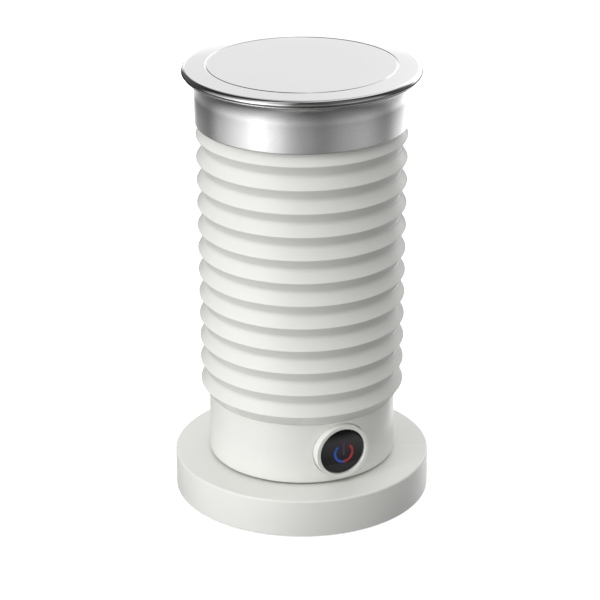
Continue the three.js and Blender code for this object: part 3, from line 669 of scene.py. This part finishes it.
dress(lower_housing(), "lower_housing", "jug")
dress(bottom_cover(), "bottom_cover", "jug")
for i, site in enumerate(cover_screw_sites, 1):
    dress(screw(f"cover_fixing_{i}", site, f"cover_screw_{i}"), f"cover_screw_{i}", "jug")
dress(jug_connector(), "jug_connector", "jug")
dress(pole_ring("inner_pole", "jug_ring_inner", 6.2), "jug_ring_inner", "jug")
dress(pole_ring("outer_pole", "jug_ring_outer", 11.2), "jug_ring_outer", "jug")
dress(jug_pin(), "jug_pin", "jug")

# ------------------------------------------------------------------ ribbed sleeve, collar and pot
sleeve_low, sleeve_top = low("ribbed_sleeve", 2), high("ribbed_sleeve", 2)
RIBS, PITCH, FIRST_CREST = 12, 10.48, 52.75
CREST, VALLEY, DRAFT = 45.5, 42.3, 0.065  # before rounding; the draft widens every rib in turn


def ribbed_sleeve():
    inner, foot_edge, top_edge = 40.8, 42.15, 43.3
    corners = [(inner, sleeve_low), (foot_edge, sleeve_low, 0.15)]
    for i in range(RIBS):
        height = FIRST_CREST + i * PITCH
        if i:
            corners.append((VALLEY + i * DRAFT, height - PITCH / 2, 2.2))
        corners.append((CREST + i * DRAFT, height, 0.5))
    corners += [(top_edge, sleeve_top, 0.3), (inner, sleeve_top)]
    return turned("ribbed_shell", rounded(corners, 7), FINE, sharp=60)


collar_radius, collar_low = 46.4, low("steel_collar", 2)
SHEET = 0.7


def steel_collar():
    """Sheet band, turned in at its foot, that flares out in a quarter ellipse to a round lip."""
    hem, bend, flare, rise = 41.2, 185.6, 4.6, 9.5
    middle = collar_radius - SHEET / 2 + flare

    def curve(offset, start, end):
        points = arc((0, 0), 1, start, end, 16)
        return [(middle + (flare + offset) * x, bend + (rise + offset) * z) for x, z in points]

    lip = [(middle + x, bend + rise + z) for x, z in arc((0, 0), SHEET / 2, -70, 70, 5)]
    inner_foot = (collar_radius - SHEET, collar_low + SHEET)
    outline = [(hem, collar_low)] + arc(inner_foot, SHEET, -90, 0, 5)
    outline += curve(-SHEET / 2, 180, 90) + lip + curve(SHEET / 2, 90, 180)
    outline += [inner_foot, (hem, collar_low + SHEET)]
    return turned("steel_band", outline, FINE, sharp=50)


def inner_pot():
    """Drawn steel pot with a rounded knee, and a lip rolled outwards inside the collar."""
    floor, sheet, inside, corner = low("inner_pot", 2), 0.8, 37.8, 4.8
    roll, roll_height = 7, 187
    knee = (inside - corner, floor + sheet + corner)
    lip = (inside + sheet / 2 + roll, roll_height)
    edge = arc((lip[0], roll_height + roll), sheet / 2, -70, 70, 4)
    outline = [(0, floor)] + arc(knee, corner + sheet, -90, 0, 10)
    outline += arc(lip, roll - sheet / 2, 180, 90, 14) + edge
    outline += arc(lip, roll + sheet / 2, 90, 180, 14)
    outline += arc(knee, corner, 0, -90, 10) + [(0, floor + sheet)]
    return turned("pot_shell", outline, ROUND, sharp=50)


dress(ribbed_sleeve(), "ribbed_sleeve", "jug")
dress(steel_collar(), "steel_collar", "jug")
dress(inner_pot(), "inner_pot", "jug")

# ------------------------------------------------------------------ lid
lid_radius, lid_top, rim_low = radius_of("lid_cap"), high("lid_cap", 2), low("lid_cap", 2)


def lid_cap():
    """Pressed steel sheet with a ring groove in its top, and its edge rolled over and down."""
    under, hem, edge = lid_top - 0.8, lid_radius - 1.6, lid_top - 0.6
    across, down = 2.3, 2.1  # half axes of the rolled edge
    beneath = [
        (0, under), (40.5, under, 0.3), (40.9, under - 0.4, 0.2), (41.7, under - 0.4, 0.2),
        (42.1, under, 0.3), (hem, under - 0.6), (hem, rim_low, 0.15),
        (lid_radius - 0.3, rim_low, 0.1),
    ]
    rolled = [
        (lid_radius - across + across * x, edge - down + down * z)
        for x, z in arc((0, 0), 1, 0, 88, 16)
    ]
    groove = lid_top - 0.2
    top = [
        (41.8, lid_top, 0.3), (41.5, groove, 0.1), (41.1, groove, 0.1), (40.8, lid_top, 0.3),
        (20, lid_top), (0, lid_top),
    ]
    return turned("steel_lid", rounded(beneath + rolled + top, 8), FINE, sharp=40)


def lid_plug():
    """Plastic skirt that enters the pot, with a groove for the seal."""
    bottom, deck, disc_low = low("lid_plug", 2), high("lid_plug", 2), 195.9
    inner, outer, groove, groove_low, groove_top = 34.7, 36.2, 35.6, 184.9, 187.3
    return turned(
        "lid_skirt",
        rounded([
            (0, deck - 2.5), (inner, deck - 2.5, 1.0), (inner, bottom, 0.6), (outer, bottom, 0.6),
            (outer, groove_low, 0.1), (groove, groove_low), (groove, groove_top),
            (outer, groove_top, 0.1), (outer, disc_low, 0.4), (49.8, disc_low, 0.3), (49.8, deck),
            (0, deck),
        ]),
        ROUND,
    )


def lid_seal():
    bottom, top = low("lid_seal", 2), high("lid_seal", 2)
    inner, outer = 35.9, radius_of("lid_seal")
    corners = [(inner, bottom, 0.2), (outer, bottom, 0.8), (outer, top, 0.8), (inner, top, 0.2)]
    return turned("seal_ring", rounded(corners), ROUND)


dress(lid_cap(), "lid_cap", "lid")
dress(lid_plug(), "lid_plug", "lid")
dress(lid_seal(), "lid_seal", "lid")

# ------------------------------------------------------------------ whisk and its spindle
hub_low, knob_top = low("whisk_hub", 2), high("whisk_hub", 2)


def whisk_hub():
    """Round carrier with a knob to lift it by, and three arms that hold the spring."""
    deck, bore, bore_top, disc = 96, 1.9, 103.6, 17.2
    body = turned(
        "whisk_carrier",
        rounded([
            (bore, hub_low), (disc, hub_low, 0.5), (disc, deck, 1.2), (6.0, deck, 1.2),
            (3.7, deck + 3, 1.5), (4.5, knob_top - 1.5, 1.0), (3.4, knob_top, 0.6), (0, knob_top),
            (0, bore_top), (bore, bore_top),
        ]),
        96,
    )
    arm = (15.5, 22.9), (-1.5, 1.5), (hub_low, hub_low + 1)
    return joined(body, *[bar("arm", *arm, angle, 0.25) for angle in (30, 150, 270)])


def whisk_spring():
    """Ring spring of round wire, open by a few degrees as in the CAD model."""
    turns, steps, wire, open_ring = 16, 20, 0.45, 356
    ring, coil, height = 20.3, 2.2, 95.4
    curve = bpy.data.curves.new("ring_spring", "CURVE")
    curve.dimensions = "3D"
    curve.bevel_depth = wire * MM
    curve.bevel_resolution = 3
    line = curve.splines.new("POLY")
    line.points.add(turns * steps)
    for i, point in enumerate(line.points):
        t = i / (turns * steps)
        swing, twist = math.radians(open_ring) * t, 2 * math.pi * turns * t
        r = ring + coil * math.cos(twist)
        z = height + coil * math.sin(twist)
        point.co = (r * math.cos(swing) * MM, r * math.sin(swing) * MM, z * MM, 1)
    spring = bpy.data.objects.new("ring_spring", curve)
    bpy.context.scene.collection.objects.link(spring)
    return spring


def spindle():
    seat, top, flange, pin = low("whisk_spindle", 2), high("whisk_spindle", 2), 4, 1.5
    corners = [
        (0, seat), (flange, seat, 0.2), (flange, seat + 1, 0.3), (pin, seat + 1.5, 0.4),
        (pin, top, 0.7), (0, top),
    ]
    return turned("spindle_pin", rounded(corners), 48)


dress(whisk_hub(), "whisk_hub", "whisk")
dress(whisk_spring(), "whisk_spring", "whisk")
dress(spindle(), "whisk_spindle", "jug")


# ------------------------------------------------------------------ push button
def button_bezel():
    near, bore, outer = -high("button_bezel", 1), 10.75, radius_of("button_bezel")
    corners = [(bore, near), (outer, near), (outer, bezel_face, 0.25), (bore, bezel_face, 0.35)]
    return turned("button_ring", rounded(corners, 6), 128, turn=to_front(button_height))


def button_cap():
    """Black lens, domed in the shape of a flat parabola."""
    near, cap, dome, rings = -high("button_cap", 1), radius_of("button_cap"), 0.6, 12
    shares = [k / rings for k in range(rings, -1, -1)]
    face = [(cap * share, cap_face - dome * share ** 2) for share in shares]
    outline = rounded([(0, near), (cap, near), (*face[0], 0.3)] + face[1:], 6)
    return turned("button_face", outline, 128, sharp=50, turn=to_front(button_height))


def symbol(name, points_out, points_in, look, colour):
    """Thin inlay in the domed face of the button, between two rows of points (x, z)."""
    inlay, right, down = 0.2, 0.55, 0.7  # the symbol sits a little off the middle of the button
    verts, count = [], len(points_out)
    for depth in (cap_face - inlay, cap_face):
        for x, z in (*points_out, *points_in):
            verts.append((x + right, -depth, z + button_height - down))
    faces = []
    for i in range(count - 1):
        a, b, c, d = i, i + 1, count + i + 1, count + i
        faces.append((a, b, c, d))
        faces.append(tuple(2 * count + v for v in (d, c, b, a)))
        faces.append((a, 2 * count + a, 2 * count + b, b))
        faces.append((d, c, 2 * count + c, 2 * count + d))
    for i in (0, count - 1):
        faces.append((i, count + i, 3 * count + i, 2 * count + i))
    piece = mesh_object(name, verts, faces)
    piece.data.materials.append(glowing(look, colour))
    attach(piece, "button")


def half_ring(start, end):
    """Points along the outside and along the inside of a half of the ring."""
    steps = 24
    turns = [start + (end - start) * i / steps for i in range(steps + 1)]
    return [[polar(radius, turn) for turn in turns] for radius in (OUTER, OUTER - STROKE)]


dress(button_bezel(), "button_bezel", "jug")
dress(button_cap(), "button_cap", "button")
OUTER, STROKE, OPEN = 4.75, 1.1, 42  # radius and width of the ring, half its gap in degrees
BAR_HALF, BAR_TOP, BAR_FOOT = 0.35, 5.2, -1.2
bar_sides = [[(x, BAR_TOP), (x, BAR_FOOT)] for x in (-BAR_HALF, BAR_HALF)]
symbol("mark_blue", *half_ring(90 + OPEN, 270), "blue_mark", (0.012, 0.07, 0.42))
symbol("mark_red", *half_ring(270, 450 - OPEN), "red_mark", (0.36, 0.015, 0.022))
symbol("mark_centre", *bar_sides, "violet_mark", (0.07, 0.02, 0.10))


# ------------------------------------------------------------------ studio
def floor():
    """Pale floor, clear from below so that the underside of the object can be seen."""
    half = 3.0  # metres
    corners = [(-half, -half, 0), (half, -half, 0), (half, half, 0), (-half, half, 0)]
    mesh = bpy.data.meshes.new("floor")
    mesh.from_pydata(corners, [], [(0, 1, 2, 3)])
    ground = bpy.data.objects.new("floor", mesh)
    bpy.context.scene.collection.objects.link(ground)
    n = Nodes("pale_floor")
    n.level(
        Base_Color=(0.9, 0.9, 0.9, 1), Roughness=0.9, Specular_IOR_Level=0.0,
        Emission_Color=(1, 1, 1, 1), Emission_Strength=0.8,
    )
    mesh.materials.append(n.material)
    below = n.add("ShaderNodeNewGeometry").outputs["Backfacing"]
    clear = n.add("ShaderNodeBsdfTransparent").outputs[0]
    seen = n.either(below, n.shader.outputs[0], clear)
    n.wire(seen, n.tree.nodes["Material Output"].inputs["Surface"])
    ground.visible_glossy = ground.visible_diffuse = False


# Brightness of the studio walls, by degrees to the right of the camera. A broad soft box stands to
# the left of the camera, dark flats to the left and right, and the backdrop behind is lit.
# SOFT_WALLS light the object. The other two show in its reflections: LOWER_WALLS in directions
# that fall more steeply than LEVEL, UPPER_WALLS in the rest.
SOFT_WALLS = [
    (-180, 1.2), (-168, 1.1), (-150, 0.4), (-118, 0.28), (-98, 0.85), (-85, 1.1), (-70, 1.7),
    (-48, 5.8), (-22, 1.6), (0, 0.64), (22, 0.44), (50, 0.75), (75, 0.75), (105, 0.45), (130, 1.3),
    (155, 2.0), (168, 1.5), (180, 1.2),
]
LOWER_WALLS = [
    (-180, 1.2), (-168, 1.0), (-150, 0.4), (-118, 0.28), (-98, 0.9), (-85, 1.3), (-70, 1.8),
    (-48, 2.6), (-30, 1.9), (-12, 1.0), (0, 0.7), (22, 0.42), (50, 0.7), (70, 0.78), (105, 0.42),
    (130, 1.2), (155, 1.9), (168, 1.5), (180, 1.2),
]
UPPER_WALLS = [
    (-180, 1.0), (-166, 1.0), (-154, 0.1), (-110, 0.05), (-90, 0.4), (-70, 0.9), (-48, 2.3),
    (-25, 1.1), (-5, 0.2), (22, 0.15), (50, 0.3), (75, 0.3), (95, 0.06), (120, 0.1), (140, 1.4),
    (155, 2.8), (167, 1.3), (180, 1.0),
]
# How that changes with height, given as the sine of the elevation.
SHEEN_HEIGHTS = [
    (-1.0, 0.15), (-0.75, 0.3), (-0.6, 0.45), (-0.5, 0.62), (-0.42, 1.03), (-0.35, 1.38),
    (-0.31, 1.22), (-0.27, 0.1), (-0.1, 0.12), (0.02, 1.5), (0.12, 1.45), (0.18, 1.28), (0.25, 1.0),
    (0.45, 1.0), (0.6, 0.5), (1.0, 0.4),
]
SOFT_HEIGHTS = [(-1.0, 0.1), (-0.4, 0.18), (0.05, 0.8), (1.0, 0.8)]
LEVEL, OVERHEAD = (-0.34, -0.28), (0.5, 0.95)  # where lower walls give way to upper, and to CEILING
CEILING = (1.0, 1.0, 1.0)  # soft light from straight above


def studio_walls():
    """Light for the object and its reflections, with a plain white backdrop for the camera."""
    world = bpy.data.worlds.new("studio")
    bpy.context.scene.world = world
    world.use_nodes = True
    n = Wiring(world.node_tree)
    n.tree.nodes.clear()

    def ramp(levels, share):
        """Brightness from levels, where share is 0 at the first of them and 1 at the last."""
        first, last = levels[0][0], levels[-1][0]
        node = n.add("ShaderNodeValToRGB")
        node.color_ramp.interpolation = "EASE"
        stops = node.color_ramp.elements
        while len(stops) < len(levels):
            stops.new(0.5)
        for stop, (at, level) in zip(stops, levels):
            stop.position = (at - first) / (last - first)
            stop.color = (level, level, level, 1)
        n.wire(share, node.inputs["Fac"])
        return node.outputs["Color"]

    def background(colour):
        node = n.add("ShaderNodeBackground")
        n.wire(colour, node.inputs["Color"])
        return node.outputs[0]

    where = n.add("ShaderNodeTexCoord")
    turn = n.add("ShaderNodeVectorRotate", rotation_type="Z_AXIS")
    turn.inputs["Angle"].default_value = -math.radians(CAMERA_AZIMUTH)
    n.wire(where.outputs["Generated"], turn.inputs["Vector"])
    split = n.add("ShaderNodeSeparateXYZ")
    n.wire(turn.outputs[0], split.inputs[0])
    rise = split.outputs["Z"]
    back = n.add("ShaderNodeMath", operation="MULTIPLY")
    back.inputs[1].default_value = -1
    n.wire(split.outputs["Y"], back.inputs[0])
    bearing = n.add("ShaderNodeMath", operation="ARCTAN2")
    n.wire(split.outputs["X"], bearing.inputs[0])
    n.wire(back.outputs[0], bearing.inputs[1])
    around, height = n.spread(bearing.outputs[0], (-math.pi, math.pi)), n.spread(rise, (-1, 1))

    walls = n.mix(n.spread(rise, LEVEL), ramp(LOWER_WALLS, around), ramp(UPPER_WALLS, around))
    sheen = n.mix(1.0, walls, ramp(SHEEN_HEIGHTS, height), "MULTIPLY")
    soft = n.mix(1.0, ramp(SOFT_WALLS, around), ramp(SOFT_HEIGHTS, height), "MULTIPLY")
    overhead = n.spread(rise, OVERHEAD, interpolation_type="SMOOTHSTEP")
    soft = n.mix(overhead, soft, CEILING)
    path = n.add("ShaderNodeLightPath")
    light = n.either(path.outputs["Is Diffuse Ray"], background(sheen), background(soft))
    white = n.add("ShaderNodeBackground")
    white.inputs["Color"].default_value = (1, 1, 1, 1)
    lit = n.either(path.outputs["Is Camera Ray"], light, white.outputs[0])
    n.wire(lit, n.add("ShaderNodeOutputWorld").inputs["Surface"])


def camera():
    """The photo's viewpoint: metres from the axis and up, and degrees of tilt."""
    lens = bpy.data.cameras.new("camera")
    eye = bpy.data.objects.new("camera", lens)
    bpy.context.scene.collection.objects.link(eye)
    across, height, tilt = 0.95987, 0.4881, 22.558
    turn = math.radians(CAMERA_AZIMUTH)
    eye.location = (math.sin(turn) * across, -math.cos(turn) * across, height)
    eye.rotation_euler = (math.radians(90 - tilt), 0, turn)
    lens.sensor_width, lens.lens = 36, 139.8
    lens.shift_x = -0.0031
    lens.clip_start, lens.clip_end = 0.05, 20
    bpy.context.scene.camera = eye


floor()
studio_walls()
camera()
bpy.context.scene.view_settings.view_transform = "Standard"
bpy.context.scene.view_settings.look = "None"
